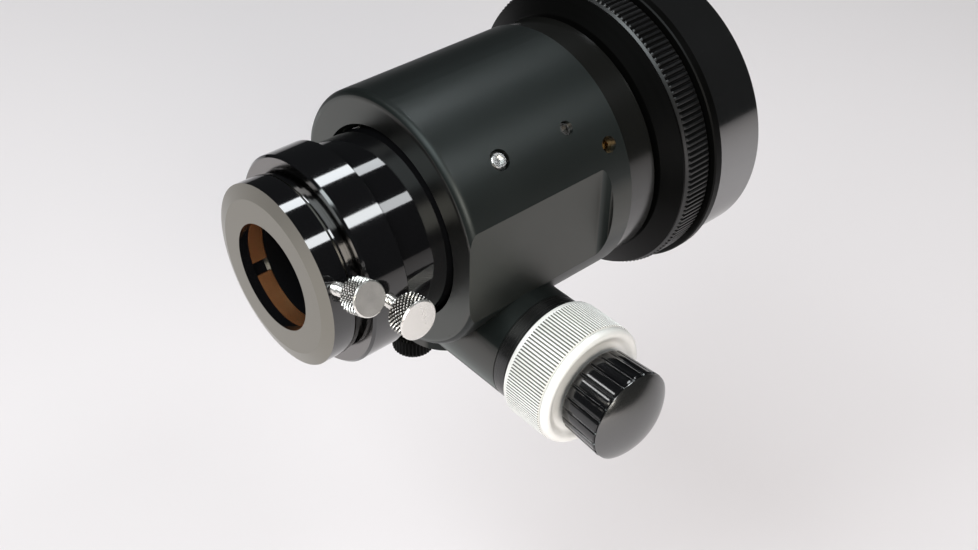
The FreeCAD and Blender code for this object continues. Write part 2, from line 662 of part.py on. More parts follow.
def fine_knob_cap():
    """The domed cap that plugs into the fine knob."""
    x0 = FINE_X[1]
    rise = DOME_X - x0
    base_r = FINE_R - BREAK / 3
    ball_r = (base_r ** 2 + rise ** 2) / (2 * rise)
    dome = Part.makeSphere(ball_r, V(DOME_X - ball_r, Y_PINION, PINION_Z))
    dome = dome.common(shaft_tube(x0, DOME_X + REACH, base_r))
    return fuse([dome, shaft_tube(x0 - DOME_PLUG, x0 + OVERLAP, FINE_R - FINE_CUP[0])])


def fine_shaft():
    x0, x1 = FINE_SHAFT_X
    return fuse([shaft_tube(x0, x1, SUN_R),
                 shaft_tube(x1 - BREAK, FINE_X[1] - FINE_CUP[1], FINE_HUB_R)])


def lock_knob():
    z0, z1 = LOCK_Z
    head = Part.makeCylinder(LOCK_R, z1 - z0, V(LOCK_X, LOCK_Y, z0), Z_AXIS)
    head = head.makeChamfer(LOCK_CHAMFER, [e for e in head.Edges if e.Length > LOCK_R * 6])
    stem = Part.makeCylinder(SCREW_R, LOCK_STEM_Z - z1 + OVERLAP,
                             V(LOCK_X, LOCK_Y, z1 - OVERLAP), Z_AXIS)
    return fuse([head, stem])


def brake_pad():
    """The nylon tip of the lock screw, just below the drawtube's flat."""
    top = TUBE_FLAT_Z - PAD_GAP
    return Part.makeCylinder(PAD_R, top - LOCK_STEM_Z, V(LOCK_X, LOCK_Y, LOCK_STEM_Z), Z_AXIS)


def tension_screw():
    z0 = CAP_Z + TENSION_SINK
    screw = Part.makeCylinder(SCREW_R, CRADLE_BOTTOM - RUN - z0, V(0, Y_PINION, z0), Z_AXIS)
    return screw.cut(hex_socket(V(0, Y_PINION, z0), Z_AXIS, TENSION_HEX, TENSION_HEX))


# ---------------------------------------------------------------- rotator
def rotator_flange():
    return revolve_y([
        (JOURNAL_R + RUN, NECK_FRONT), (NECK_R, NECK_FRONT), (NECK_R, Y_FLANGE_FRONT),
        (FLANGE_FACE_R, Y_FLANGE_FRONT), (FLANGE_R, Y_FLANGE_REAR - 2 * BREAK),
        (FLANGE_R, Y_FLANGE_REAR), (JOURNAL_R + RUN, Y_FLANGE_REAR)])


def retaining_ring():
    """The threaded ring that keeps the rotating flange on its journal."""
    ring = tube(JOURNAL_FRONT, JOURNAL_FRONT + KEEPER_THICK, KEEPER_R, JOURNAL_R - KEEPER_THREAD)
    for angle in (0, 90, 180, 270):
        ring = ring.cut(radial_pin(JOURNAL_FRONT, angle, JOURNAL_R, NECK_R, KEEPER_NOTCH_R))
    return ring


def rotator_washer():
    return tube(Y_FLANGE_REAR + WASHER_Y[0], Y_FLANGE_REAR + WASHER_Y[1], WASHER_R, JOURNAL_R)


def lock_ring():
    front = Y_FLANGE_REAR + LOCK_RING_GAP
    bevel_r, bevel_len = LOCK_RING_BEVEL
    return revolve_y([
        (ADAPTER_NECK_R + RUN, front), (LOCK_RING_R - bevel_r, front),
        (LOCK_RING_R, front + bevel_len), (LOCK_RING_R, Y_LOCK_REAR - LOCK_RING_BREAK),
        (LOCK_RING_R - LOCK_RING_BREAK, Y_LOCK_REAR),
        (ADAPTER_NECK_R + RUN, Y_LOCK_REAR)])


def tube_adapter():
    """The fixed side of the rotator: journal, threaded neck, stop flange and rear spigot."""
    keeper_rear = JOURNAL_FRONT + KEEPER_THICK
    thread_r = JOURNAL_R - KEEPER_THREAD
    web = Y_FLANGE_REAR + WASHER_Y[1]
    spigot_rear = -TUBE_SEAT_DEPTH
    return revolve_y([
        (JOURNAL_BORE_R, JOURNAL_FRONT), (thread_r, JOURNAL_FRONT), (thread_r, keeper_rear),
        (JOURNAL_R, keeper_rear), (JOURNAL_R, web),
        (ADAPTER_NECK_R, web), (ADAPTER_NECK_R, Y_STOP_FRONT),
        (STOP_R - STOP_BREAK, Y_STOP_FRONT), (STOP_R, Y_STOP_FRONT + STOP_BREAK),
        (STOP_R, Y_TUBE_FRONT - BREAK), (STOP_R - BREAK, Y_TUBE_FRONT),
        (TUBE_SPIGOT_R, Y_TUBE_FRONT), (TUBE_SPIGOT_R, spigot_rear),
        (ADAPTER_BORE_R, spigot_rear), (ADAPTER_BORE_R, web + WEB_THICK),
        (JOURNAL_BORE_R, web + WEB_THICK)])


def tube_ring():
    """The ring on the telescope's side: screwed onto the adapter's spigot, with the seat behind."""
    return revolve_y([
        (TUBE_SPIGOT_R, Y_TUBE_FRONT), (TUBE_RING_R - BREAK, Y_TUBE_FRONT),
        (TUBE_RING_R, Y_TUBE_FRONT + BREAK), (TUBE_RING_R, -2 * BREAK),
        (TUBE_RING_R - 2 * BREAK, 0), (TUBE_SEAT_R, 0), (TUBE_SEAT_R, -TUBE_SEAT_DEPTH),
        (TUBE_SPIGOT_R, -TUBE_SEAT_DEPTH)])


def main():
    os.makedirs("parts", exist_ok=True)
    write_node("adapter_body", adapter_body())
    write_node("adapter_compression_ring",
               compression_ring(adapter_ring_span(), EYEPIECE_BORE_R, ADAPTER_SLOT_ANGLE))
    write_node("adapter_thumbscrew",
               thumbscrew(ADAPTER_SCREW, EYEPIECE_BORE_R + RING_WALL + SCREW_TIP_GAP))
    write_node("visual_back", visual_back())
    write_node("back_compression_ring",
               compression_ring(back_ring_span(), BACK_BORE_R, BACK_SLOT_ANGLE))
    write_node("back_thumbscrew",
               thumbscrew(BACK_SCREW, BACK_BORE_R + RING_WALL + SCREW_TIP_GAP))
    write_node("drawtube", drawtube())
    write_node("track_strip", track_strip())
    for place, (y, aperture) in BAFFLES.items():
        write_node(place + "_baffle", baffle(y, aperture))

    write_node("focuser_body", focuser_body())
    write_node("body_collar", body_collar())
    write_node("housing_cap", housing_cap())
    write_group("housing_cap_screws", cap_screws())
    for side, angle in BEARING_ANGLES.items():
        write_node("bearing_carrier_" + side, carrier(angle))
        for place, y in zip(("front", "rear"), BEARING_Y):
            write_node("%s_%s_bearing" % (place, side), bearing(angle, y))
            write_node("%s_%s_axle" % (place, side), bearing_axle(angle, y))
    angles = list(BEARING_ANGLES.values())
    front_y, rear_y = CARRIER_SCREW_Y
    tip = CARRIER_R[0] + OVERLAP
    write_group("front_carrier_screws", [button_screw(front_y, a, tip) for a in angles])
    write_group("rear_carrier_screws",
                [set_screw(rear_y, a, tip, SET_TOP_R, SET_R, SET_HEX) for a in angles])
    write_group("retaining_screws",
                [set_screw(RETAINING_SCREW_Y, a, SPIGOT_R - RETAINING_GROOVE[1], RETAINING_TOP_R,
                           RETAINING_R, RETAINING_HEX)
                 for a in RETAINING_ANGLES])

    write_node("shaft_cradle", shaft_cradle())
    write_node("shaft_bushing_right", shaft_bushing(1))
    write_node("shaft_bushing_left", shaft_bushing(-1))
    write_node("drive_shaft", drive_shaft())
    write_node("bearing_collar_right", bearing_collar(1))
    write_node("bearing_collar_left", bearing_collar(-1))
    write_node("reduction_race", reduction_race())
    write_node("ball_carrier", ball_carrier())
    write_group("reduction_balls", reduction_balls())
    write_node("coarse_knob_right", coarse_knob(1))
    write_node("coarse_knob_left", coarse_knob(-1))
    write_node("left_knob_disc", end_disc())
    write_node("fine_knob", fine_knob())
    write_node("fine_knob_cap", fine_knob_cap())
    write_node("fine_shaft", fine_shaft())
    write_node("lock_knob", lock_knob())
    write_node("brake_pad", brake_pad())
    write_node("tension_screw", tension_screw())

    write_node("rotator_flange", rotator_flange())
    write_node("retaining_ring", retaining_ring())
    write_node("rotator_washer", rotator_washer())
    write_node("lock_ring", lock_ring())
    write_node("tube_adapter", tube_adapter())
    write_node("tube_ring", tube_ring())


main()
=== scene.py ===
"""Looks for the rotating dual-speed telescope focuser. Metres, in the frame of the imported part:
+Y is the optical axis towards the telescope, +X points to the dual-speed knobs, +Z is up."""

import json
import math

import bmesh
import bpy
from mathutils import Matrix, Vector


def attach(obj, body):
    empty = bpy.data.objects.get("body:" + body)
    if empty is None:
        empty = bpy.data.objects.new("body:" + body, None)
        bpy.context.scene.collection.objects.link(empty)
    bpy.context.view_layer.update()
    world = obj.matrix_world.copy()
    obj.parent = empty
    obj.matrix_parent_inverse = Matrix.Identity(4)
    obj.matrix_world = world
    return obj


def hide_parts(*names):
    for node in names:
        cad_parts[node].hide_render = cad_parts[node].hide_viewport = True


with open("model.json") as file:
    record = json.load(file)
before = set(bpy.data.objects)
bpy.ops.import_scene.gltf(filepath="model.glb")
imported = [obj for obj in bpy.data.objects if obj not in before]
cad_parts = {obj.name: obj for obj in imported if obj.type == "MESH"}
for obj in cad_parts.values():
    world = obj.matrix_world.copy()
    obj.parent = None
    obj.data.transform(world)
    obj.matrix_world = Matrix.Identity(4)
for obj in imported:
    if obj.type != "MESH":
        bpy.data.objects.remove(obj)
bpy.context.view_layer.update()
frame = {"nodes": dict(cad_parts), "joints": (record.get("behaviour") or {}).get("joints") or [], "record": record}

MM = 0.001
X_AXIS = Vector((1, 0, 0))
Y_AXIS = Vector((0, 1, 0))
Z_AXIS = Vector((0, 0, 1))
JOINTS = {joint["name"]: joint for joint in frame["joints"]}
FORWARDS = (0, -1, 0)           # the way the eyepiece end looks


# ---------------------------------------------------------------- materials
def start_material(name, colour, roughness, metallic=0.0, ior=1.5):
    """A Principled material with its even values set on the shader's own sockets."""
    material = bpy.data.materials.new(name)
    material.use_nodes = True
    shader = material.node_tree.nodes["Principled BSDF"]
    shader.inputs["Base Color"].default_value = (*colour, 1)
    shader.inputs["Roughness"].default_value = roughness
    shader.inputs["Metallic"].default_value = metallic
    shader.inputs["IOR"].default_value = ior
    return material, shader


def add(material, kind, **values):
    """Adds a node and sets its named inputs."""
    node = material.node_tree.nodes.new(kind)
    for key, value in values.items():
        node.inputs[key].default_value = value
    return node


def wire(material, source, target):
    material.node_tree.links.new(source, target)


def object_place(material):
    """The surface point in the piece's own coordinates, in metres."""
    return add(material, "ShaderNodeTexCoord").outputs["Object"]


def stretched(material, scale):
    """The surface point with each coordinate multiplied, for streaks and brush marks."""
    mapping = add(material, "ShaderNodeMapping", Scale=scale)
    wire(material, object_place(material), mapping.inputs["Vector"])
    return mapping.outputs["Vector"]


def noise(material, place, scale, detail=2.0):
    node = add(material, "ShaderNodeTexNoise", Scale=scale, Detail=detail)
    wire(material, place, node.inputs["Vector"])
    return node.outputs["Fac"]


def remap(material, value, low, high, new_low, new_high):
    """Maps low..high to new_low..new_high, clamped."""
    node = add(material, "ShaderNodeMapRange")
    for socket, number in zip(node.inputs[1:5], (low, high, new_low, new_high)):
        socket.default_value = number
    wire(material, value, node.inputs["Value"])
    return node.outputs["Result"]


def blend_colours(material, share, first, second):
    node = material.node_tree.nodes.new("ShaderNodeMix")
    node.data_type = "RGBA"
    node.inputs["A"].default_value = (*first, 1)
    node.inputs["B"].default_value = (*second, 1)
    wire(material, share, node.inputs["Factor"])
    return node.outputs["Result"]


NOISE_LOW = 0.3                 # nearly all of a noise lies between these two values
NOISE_HIGH = 0.7


def spread(material, share, low, high):
    """Maps a noise to low..high."""
    return remap(material, share, NOISE_LOW, NOISE_HIGH, low, high)


def bump(material, shader, height, strength, distance):
    node = add(material, "ShaderNodeBump", Strength=strength, Distance=distance)
    wire(material, height, node.inputs["Height"])
    wire(material, node.outputs["Normal"], shader.inputs["Normal"])


def facing(material, axis, low, high, both_ways=False):
    """1 where the surface faces along the axis in the piece's own coordinates, 0 elsewhere. With
    both_ways it is 1 against the axis too."""
    normal = add(material, "ShaderNodeTexCoord").outputs["Normal"]
    if both_ways:
        unsigned = material.node_tree.nodes.new("ShaderNodeVectorMath")
        unsigned.operation = "ABSOLUTE"
        wire(material, normal, unsigned.inputs[0])
        normal = unsigned.outputs["Vector"]
    node = material.node_tree.nodes.new("ShaderNodeVectorMath")
    node.operation = "DOT_PRODUCT"
    wire(material, normal, node.inputs[0])
    node.inputs[1].default_value = axis
    return remap(material, node.outputs["Value"], low, high, 0, 1)


FACE_START = 0.88               # how squarely a surface looks forwards where its face look starts
FACE_END = 0.93                 # and where it is complete


def satin_face(material, shader, wall, face, wall_rough, face_rough):
    """Blends black walls into bare-looking faces that look forwards, and returns the roughness."""
    share = facing(material, FORWARDS, FACE_START, FACE_END)
    wire(material, blend_colours(material, share, wall, face), shader.inputs["Base Color"])
    wire(material, share, shader.inputs["Metallic"])
    return remap(material, share, 0, 1, wall_rough, face_rough)


def varied_roughness(material, shader, base, share, amount):
    """Adds a slight change of sheen to a roughness that comes from another node."""
    node = material.node_tree.nodes.new("ShaderNodeMath")
    node.operation = "ADD"
    wire(material, base, node.inputs[0])
    wire(material, spread(material, share, -amount, amount), node.inputs[1])
    wire(material, node.outputs["Value"], shader.inputs["Roughness"])


def gloss_black(name, face, face_rough, ior=1.75):
    """Polished black anodised aluminium: glossy round, with turned end faces."""
    wall = (0.0035, 0.0035, 0.004)
    material, shader = start_material(name, wall, 0.08, 0, ior)
    rough = satin_face(material, shader, wall, face, 0.075, face_rough)
    wide = noise(material, object_place(material), 60, 2)
    varied_roughness(material, shader, rough, wide, 0.012)
    marks = noise(material, stretched(material, (20, 2500, 20)), 1.0)
    bump(material, shader, marks, 0.02, 0.00001)
    return material


BODY_FACE_ROUGH = 0.34
FLAT_START = 0.96               # how squarely a milled flat looks sideways
FLAT_END = 0.99
FLAT_SHEEN = 0.22               # more sheen on the flats, as a change of IOR
EDGE_START = 0.30               # how far the rounded front edge looks forwards
EDGE_END = 0.65
EDGE_SHEEN = -0.20              # less sheen on that edge
# painted reflection colour: a cool tint on the reflections of the round body, a warm one on those of the milled
# flats
ROUND_PAINTED_REFLECTION_TINT = (0.93, 1.0, 0.985)
FLAT_PAINTED_REFLECTION_TINT = (1.0, 0.995, 0.93)


def matte_black(name, colour, rough, grain, ior, face=None):
    """Bead-blasted black anodising: an even fine grain, with slight variations in sheen. With a
    face colour, its front faces, milled flats and rounded front edge have looks of their own."""
    material, shader = start_material(name, colour, rough, 0, ior)
    place = object_place(material)
    wide = noise(material, place, 40, 3)
    fine = noise(material, place, grain, 2)
    if face:
        base = satin_face(material, shader, colour, face, rough, BODY_FACE_ROUGH)
        varied_roughness(material, shader, base, wide, 0.02)
        flats = facing(material, X_AXIS, FLAT_START, FLAT_END, both_ways=True)
        edges = facing(material, FORWARDS, EDGE_START, EDGE_END)
        sheen = material.node_tree.nodes.new("ShaderNodeMath")
        sheen.operation = "ADD"
        wire(material, remap(material, flats, 0, 1, ior, ior + FLAT_SHEEN), sheen.inputs[0])
        wire(material, remap(material, edges, 0, 1, 0, EDGE_SHEEN), sheen.inputs[1])
        wire(material, sheen.outputs["Value"], shader.inputs["IOR"])
        # painted reflection colour, chosen by which way the surface faces
        painted_reflection_tint = blend_colours(material, flats, ROUND_PAINTED_REFLECTION_TINT, FLAT_PAINTED_REFLECTION_TINT)
        wire(material, painted_reflection_tint, shader.inputs["Specular Tint"])
    else:
        wire(material, spread(material, wide, rough - 0.03, rough + 0.03), shader.inputs["Roughness"])
        lighter = tuple(c * 1.5 for c in colour)
        wire(material, blend_colours(material, fine, colour, lighter), shader.inputs["Base Color"])
    bump(material, shader, fine, 0.10, 0.00005)
    return material


def turned_black(name, colour, rough, ior=1.75, scale=(15, 1800, 15)):
    """Black anodising over faint turning marks."""
    material, shader = start_material(name, colour, rough, 0, ior)
    lines = noise(material, stretched(material, scale), 1.0, 3)
    wire(material, spread(material, lines, rough - 0.02, rough + 0.02), shader.inputs["Roughness"])
    bump(material, shader, lines, 0.03, 0.00001)
    return material


def bare_metal(name, colour, rough_low, rough_high, grain=4000.0, strength=0.03, metallic=1.0):
    """Bare or plated metal with slight changes of sheen and fine surface marks."""
    material, shader = start_material(name, colour, rough_low, metallic)
    place = object_place(material)
    wide = noise(material, place, 300, 2)
    wire(material, spread(material, wide, rough_low, rough_high), shader.inputs["Roughness"])
    darker = tuple(c * 0.93 for c in colour)
    wire(material, blend_colours(material, wide, darker, colour), shader.inputs["Base Color"])
    bump(material, shader, noise(material, place, grain, 2), strength, 0.00002)
    return material


def brass():
    """Springy brass, slightly warmer in patches."""
    material, shader = start_material("brass", (0.84, 0.36, 0.15), 0.24, 0.92)
    patches = noise(material, object_place(material), 90, 2)
    tone = blend_colours(material, remap(material, patches, 0.35, 0.65, 0, 1),
                         (0.76, 0.30, 0.12), (0.92, 0.45, 0.20))
    wire(material, tone, shader.inputs["Base Color"])
    wire(material, spread(material, patches, 0.20, 0.27), shader.inputs["Roughness"])
    bump(material, shader, noise(material, stretched(material, (200, 9000, 200)), 1.0), 0.04, 0.00002)
    return material


def nylon():
    material, shader = start_material("nylon", (0.78, 0.77, 0.72), 0.5)
    grain = noise(material, object_place(material), 900)
    wire(material, blend_colours(material, grain, (0.72, 0.71, 0.66), (0.82, 0.81, 0.77)),
         shader.inputs["Base Color"])
    bump(material, shader, grain, 0.1, 0.00004)
    return material


ALONG_SHAFT = (1800, 15, 15)    # turning marks of pieces turned about the focusing shaft

GLOSS = gloss_black("gloss_black_anodised", (0.252, 0.240, 0.209), 0.30)
GLOSS_BACK = gloss_black("gloss_black_polished", (0.215, 0.206, 0.200), 0.17)
GLOSS_TUBE = gloss_black("gloss_black_tube", (0.16, 0.155, 0.15), 0.20, 1.52)
MATTE = matte_black("bead_blasted_black", (0.0040, 0.0054, 0.0051), 0.43, 2600, 1.52,
                    (0.100, 0.098, 0.094))
COLLAR = turned_black("satin_black_collar", (0.0050, 0.0050, 0.0044), 0.17)
SHAFT_COLLAR = turned_black("satin_black_shaft_collar", (0.005, 0.005, 0.005), 0.27, 1.6, ALONG_SHAFT)
SATIN = turned_black("satin_black", (0.006, 0.006, 0.0065), 0.30)
# painted shade: a darker, duller black that stands in for the shade in the gap between lock ring and tube ring
# (rotator flange, tube adapter) and under the housing (lock knob)
SHADE = turned_black("dull_black_painted_shade", (0.0014, 0.0014, 0.0013), 0.36, 1.17)
TUBE_SIDE = turned_black("satin_black_tube_ring", (0.003, 0.003, 0.003), 0.11, 3.1)
GRIP = turned_black("knurled_black", (0.004, 0.004, 0.0042), 0.30, 1.6)
# painted shade: darker materials for the faces deep in knurl grooves stand in for the shade that falls there (this
# one and the silver and nickel groove materials below)
KNURL_GROOVE_PAINTED_SHADE = turned_black("knurl_groove_painted_shade", (0.002, 0.002, 0.002), 0.5, 1.2)
DOME = matte_black("satin_dome_black", (0.009, 0.009, 0.0085), 0.20, 3200, 2.2)
RIBBED = turned_black("gloss_ribbed_black", (0.004, 0.004, 0.0045), 0.13, 1.6, ALONG_SHAFT)
SILVER = bare_metal("silver_anodised", (0.91, 0.90, 0.875), 0.36, 0.42, strength=0.01, metallic=0.25)
# painted shade for the silver knobs' knurl grooves
SILVER_GROOVE_PAINTED_SHADE = bare_metal("silver_knurl_groove_painted_shade", (0.12, 0.115, 0.10), 0.45, 0.55, metallic=0.25)
NICKEL = bare_metal("nickel_plate", (0.80, 0.78, 0.75), 0.22, 0.28, strength=0.02, metallic=0.85)
# painted shade for the thumbscrews' knurl grooves
NICKEL_GROOVE_PAINTED_SHADE = bare_metal("nickel_knurl_groove_painted_shade", (0.03, 0.029, 0.026), 0.45, 0.55)
STEEL = bare_metal("stainless_steel", (0.55, 0.55, 0.54), 0.20, 0.30)
DARK_STEEL = bare_metal("black_oxide_steel", (0.13, 0.125, 0.12), 0.20, 0.30)
BRASS = brass()
# painted shade: the brass is darkened well below its own colour to stand in for the shade of the holes the
# retaining screws sit in
GOLD = bare_metal("brass_screw", (0.27, 0.19, 0.10), 0.11, 0.18)
NYLON = nylon()

BY_SLOT = {"gloss_black": GLOSS, "matte_black": MATTE, "satin_black": SATIN, "silver": SILVER,
           "nickel": NICKEL, "brass": BRASS, "steel": STEEL, "dark_steel": DARK_STEEL,
           "nylon": NYLON, "fluted_black": RIBBED}
BY_NODE = {"body_collar": COLLAR, "rotator_flange": SHADE, "bearing_collar_right": SHAFT_COLLAR,
           "bearing_collar_left": SHAFT_COLLAR, "left_knob_disc": RIBBED, "tube_ring": TUBE_SIDE,
           "tube_adapter": SHADE, "retaining_screws": GOLD, "visual_back": GLOSS_BACK,
           "drawtube": GLOSS_TUBE}

for part in frame["record"]["subparts"]:
    node = frame["nodes"][part["node"]]
    chosen = BY_NODE.get(part["node"], BY_SLOT[part["material_slot"]])
    for index in range(len(node.material_slots)):
        node.material_slots[index].material = chosen


# ---------------------------------------------------------------- turned pieces
def span(node, origin, axis):
    """Where a CAD node starts and ends along an axis, and its largest radius about it."""
    along = []
    radii = []
    for vertex in frame["nodes"][node].data.vertices:
        reach = vertex.co - origin
        distance = reach.dot(axis)
        along.append(distance)
        radii.append((reach - axis * distance).length)
    return min(along), max(along), max(radii)


def lathe(name, outline, origin, axis, segments, relief=None, deep=None):
    """Turns an outline of (radius, distance, share) points about an axis. relief(turn, distance)
    is how deep the surface is cut there, and share is how much of it a point takes. Faces cut
    deeper than deep take the piece's second material. The outline closes on itself, unless it
    starts and ends on the axis."""
    axis = axis.normalized()
    side = (Z_AXIS if abs(axis.z) < 0.9 else X_AXIS).cross(axis).normalized()
    other = axis.cross(side)
    mesh = bmesh.new()
    rings = []
    cuts = {}
    for radius, distance, share in outline:
        centre = origin + axis * distance
        if radius <= 0:
            rings.append([mesh.verts.new(centre)] * segments)
            continue
        ring = []
        for step in range(segments):
            turn = 2 * math.pi * step / segments
            depth = share * relief(turn, distance) if share else 0
            spoke = side * math.cos(turn) + other * math.sin(turn)
            ring.append(mesh.verts.new(centre + spoke * (radius - depth)))
            cuts[ring[-1]] = depth
        rings.append(ring)
    if outline[0][0] > 0:
        rings.append(rings[0])
    for first, second in zip(rings, rings[1:]):
        for step in range(segments):
            following = (step + 1) % segments
            corners = (first[step], first[following], second[following], second[step])
            unique = list(dict.fromkeys(corners))
            if len(unique) > 2:
                face = mesh.faces.new(unique)
                # painted shade: faces cut deeper than deep take the darker groove material
                if deep and sum(cuts.get(corner, 0) for corner in unique) > deep * len(unique):
                    face.material_index = 1
    bmesh.ops.recalc_face_normals(mesh, faces=mesh.faces)
    data = bpy.data.meshes.new(name)
    mesh.to_mesh(data)
    mesh.free()
    piece = bpy.data.objects.new(name, data)
    bpy.context.scene.collection.objects.link(piece)
    return piece


def dress(piece, material, body, replaced, sharp=32.0, groove=None):
    """Smooth shading with sharp edges, materials, a body to ride on, and what it stands for."""
    piece.data.polygons.foreach_set("use_smooth", [True] * len(piece.data.polygons))
    piece.data.set_sharp_from_angle(angle=math.radians(sharp))
    piece.data.materials.append(material)
    # the groove material paints shade into the knurl grooves
    if groove:
        piece.data.materials.append(groove)
    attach(piece, body)
    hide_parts(replaced)


def arc(centre_r, centre_t, radius, start, end, steps):
    """Points (radius, distance, 0) on a round stretch of an outline; angles from outwards."""
    points = []
    for step in range(steps + 1):
        angle = math.radians(start + (end - start) * step / steps)
        points.append((centre_r + radius * math.cos(angle), centre_t + radius * math.sin(angle), 0))
    return points


def stretch(radius, start, end, steps):
    """Evenly spaced outline points along a straight run that takes the relief in full."""
    return [(radius, start + (end - start) * step / steps, 1) for step in range(steps + 1)]


def vee(phase):
    """A groove wave from 0 on the crest to 1 in the root, with straight sides."""
    return abs(2 * (phase % 1.0) - 1)


def tooth(phase, crest, root):
    """A groove wave with a flat crest and a flat root, which take these shares of its length."""
    return min(1.0, max(0.0, (vee(phase) - crest) / (1 - crest - root)))


def straight_knurl(count, depth, crest, root):
    return lambda turn, distance: depth * tooth(count * turn / (2 * math.pi), crest, root)


DIAMOND_TOOTH = 0.26            # flat share of a diamond knurl's crests, and of its roots


def diamond_knurl(count, pitch, depth):
    """Two crossing sets of spiral grooves, which leave rows of small flat-topped pyramids."""
    def relief(turn, distance):
        around = count * turn / (2 * math.pi)
        along = distance / pitch
        return depth * max(tooth(around + along, DIAMOND_TOOTH, DIAMOND_TOOTH),
                           tooth(around - along, DIAMOND_TOOTH, DIAMOND_TOOTH))
    return relief


def thread(pitch, depth):
    return lambda turn, distance: depth * vee(distance / pitch - turn / (2 * math.pi))


SHAFT = Vector(JOINTS["coarse_spin"]["pos_m"])
SHAFT_ORIGIN = Vector((0, SHAFT.y, SHAFT.z))
KNURL_STEPS = 10                # mesh steps across one tooth of a straight knurl
SCREW_STEPS = 72                # outline steps along a thumbscrew's stem, and along its head


def coarse_knob(side):
    """The silver knob: plain lip, fine straight knurl, groove, rounded rim and a coved front."""
    word = "right" if side > 0 else "left"
    node = "coarse_knob_" + word
    axis = X_AXIS * side
    back, front, radius = span(node, SHAFT_ORIGIN, axis)
    teeth = 120
    tooth_depth = 0.34 * MM
    cavity = 14.4 * MM
    hub = (6.0 if side > 0 else 3.2) * MM
    hub_depth = 4.6 * MM
    lip = radius - 0.3 * MM
    groove_floor = radius - 1.2 * MM
    rim = 1.8 * MM
    rim_centre = radius - 2.1 * MM
    cove_width = 2.8 * MM
    cove_depth = 1.4 * MM
    cove_steps = 12
    outline = [(cavity, back, 0), (lip - 0.4 * MM, back, 0), (lip, back + 0.4 * MM, 0),
               (lip, back + 1.2 * MM, 0), (lip - 0.15 * MM, back + 1.4 * MM, 0)]
    outline += stretch(radius, back + 1.6 * MM, front - 2.7 * MM, 2)
    outline += [(radius - 0.35 * MM, front - 2.65 * MM, 0), (groove_floor, front - 2.5 * MM, 0),
                (groove_floor, front - 2.2 * MM, 0), (radius - 0.3 * MM, front - 2.05 * MM, 0)]
    outline += arc(rim_centre, front - rim, rim, 0, 90, 8)
    for step in range(1, cove_steps + 1):
        share = step / cove_steps
        fall = 0.5 - 0.5 * math.cos(share * math.pi)
        outline.append((rim_centre - share * cove_width, front - cove_depth * fall, 0))
    outline += [(hub, front - cove_depth, 0), (hub, front - hub_depth, 0),
                (cavity, front - hub_depth, 0)]
    piece = lathe("coarse_grip_" + word, outline, SHAFT_ORIGIN, axis, teeth * KNURL_STEPS,
                  straight_knurl(teeth, tooth_depth, 0.5, 0.2), tooth_depth / 2)
    dress(piece, SILVER, "drive_shaft", node, 25, SILVER_GROOVE_PAINTED_SHADE)


def fine_knob():
    """The black knob: broad smooth ribs between narrow round grooves, wider at the front."""
    back, front, radius = span("fine_knob", SHAFT_ORIGIN, X_AXIS)
    ribs = 22
    rib_steps = 32
    rib_crown = 0.10 * MM
    groove_share = 0.24
    groove_depth = 0.65 * MM
    back_radius = radius - 0.8 * MM
    bore = 3.0 * MM
    recess_radius = radius - 3.0 * MM
    recess = 4.0 * MM

    def groove(turn, distance):
        phase = (ribs * turn / (2 * math.pi)) % 1.0
        across = abs(phase - 0.5) / (groove_share / 2)
        if across < 1:
            return rib_crown + groove_depth * math.cos(across * math.pi / 2) ** 0.7
        crown = (0.5 - abs(phase - 0.5)) / (0.5 - groove_share / 2)
        return rib_crown * crown ** 2

    outline = [(bore, back, 0), (back_radius - 1.1 * MM, back, 0),
               (back_radius - 0.45 * MM, back + 0.15 * MM, 0.3),
               (back_radius, back + 0.7 * MM, 1),
               (radius - 0.1 * MM, front - 1.0 * MM, 1), (radius - 0.05 * MM, front - 0.6 * MM, 1),
               (radius - 0.3 * MM, front - 0.2 * MM, 0.8), (radius - 0.75 * MM, front, 0.2),
               (recess_radius, front, 0), (recess_radius, front - recess, 0),
               (bore, front - recess, 0)]
    piece = lathe("fine_grip", outline, SHAFT_ORIGIN, X_AXIS, ribs * rib_steps, groove)
    dress(piece, RIBBED, "fine_knob", "fine_knob")


def fine_dome():
    """The domed cap on the fine knob, with a small rounded shoulder at its foot."""
    back, apex, radius = span("fine_knob_cap", SHAFT_ORIGIN, X_AXIS)
    foot = span("fine_knob", SHAFT_ORIGIN, X_AXIS)[1]
    shoulder = 0.5 * MM
    base = radius - 0.2 * MM
    spigot = base - 2.8 * MM
    rise = apex - foot - shoulder
    ball = (base ** 2 + rise ** 2) / (2 * rise)
    dome_steps = 24
    segments = 144
    outline = [(0, back, 0), (spigot, back, 0), (spigot, foot, 0),
               (base - 0.3 * MM, foot, 0), (base, foot + 0.15 * MM, 0), (base, foot + shoulder * 0.8, 0)]
    for step in range(1, dome_steps + 1):
        reach = base * (1 - step / dome_steps)
        height = math.sqrt(ball ** 2 - reach ** 2) - (ball - rise)
        outline.append((reach, foot + shoulder + height, 0))
    piece = lathe("fine_dome", outline, SHAFT_ORIGIN, X_AXIS, segments)
    dress(piece, DOME, "fine_knob", "fine_knob_cap")


def lock_ring():
    """The rotator's lock ring: plain bevel in front, then a coarse straight knurl."""
    start, end, radius = span("lock_ring", Vector(), Y_AXIS)
    teeth = 160
    tooth_depth = 0.7 * MM
    bore = 42.45 * MM
    outline = [(bore, start, 0), (radius - 1.5 * MM, start, 0),
               (radius - 0.55 * MM, start + 0.75 * MM, 0),
               (radius - 0.5 * MM, start + 0.9 * MM, 0.2), (radius, start + 1.25 * MM, 1),
               (radius, end - 0.7 * MM, 1), (radius - 0.45 * MM, end - 0.25 * MM, 0.2),
               (radius - 0.8 * MM, end, 0), (bore, end, 0)]
    piece = lathe("lock_ring_grip", outline, Vector(), Y_AXIS, teeth * KNURL_STEPS,
                  straight_knurl(teeth, tooth_depth, 0.35, 0.3), 0.3 * MM)
    dress(piece, GRIP, "lock_ring", "lock_ring", 24, KNURL_GROOVE_PAINTED_SHADE)


